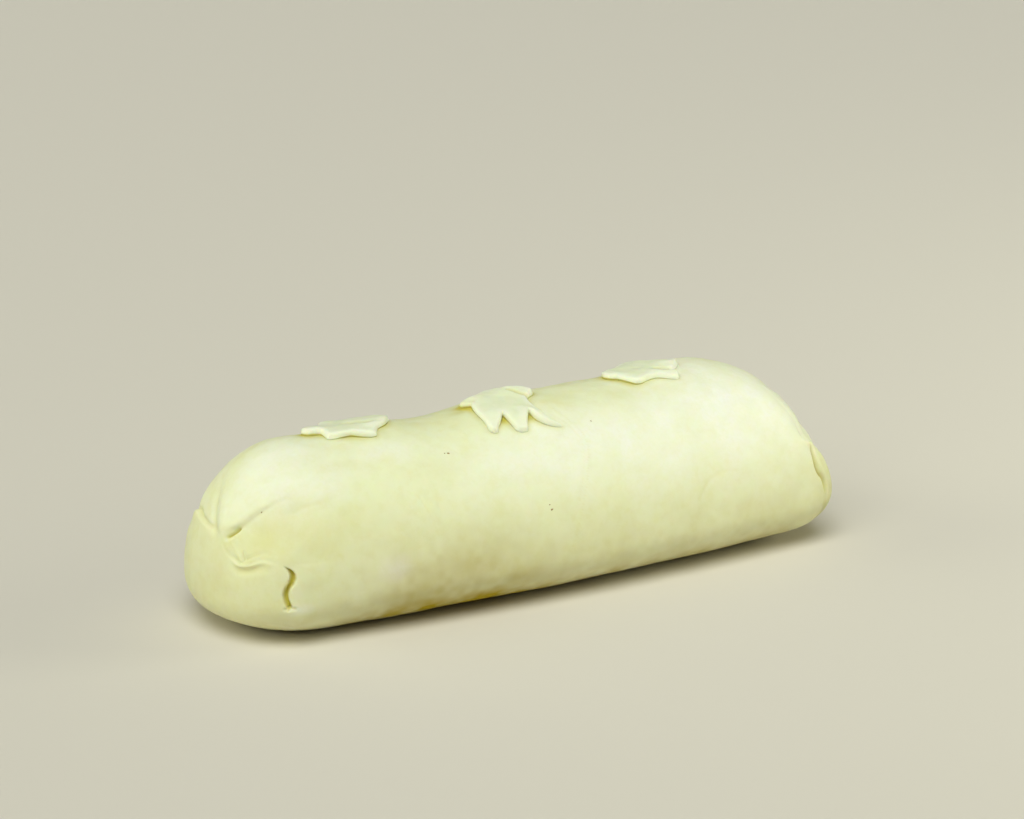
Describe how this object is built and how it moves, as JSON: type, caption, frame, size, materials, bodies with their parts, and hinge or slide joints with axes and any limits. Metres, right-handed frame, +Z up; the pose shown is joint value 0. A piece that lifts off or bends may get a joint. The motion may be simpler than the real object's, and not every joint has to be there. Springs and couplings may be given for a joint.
{
  "type": "beef wellington",
  "caption": "Unbaked pastry log with rounded, flap-folded ends and star-lobed pastry leaves laid along its crown.",
  "frame": {"origin": "middle of the bounding box's underside, on the board the wellington rests on", "axes": "+X along the log towards its fuller end, +Y to its back, +Z up through the leaves"},
  "size_m": [0.3002, 0.1118, 0.0852],
  "materials": {
    "dough": "raw puff pastry, floury and matt with a faint butter sheen",
    "leaf_dough": "raw puff pastry, floury and matt, with a clean cut edge"
  },
  "bodies": {
    "root": {"pastry_parcel": "dough", "leaf_left": "leaf_dough", "leaf_middle": "leaf_dough", "leaf_right": "leaf_dough"}
  },
  "joints": []
}
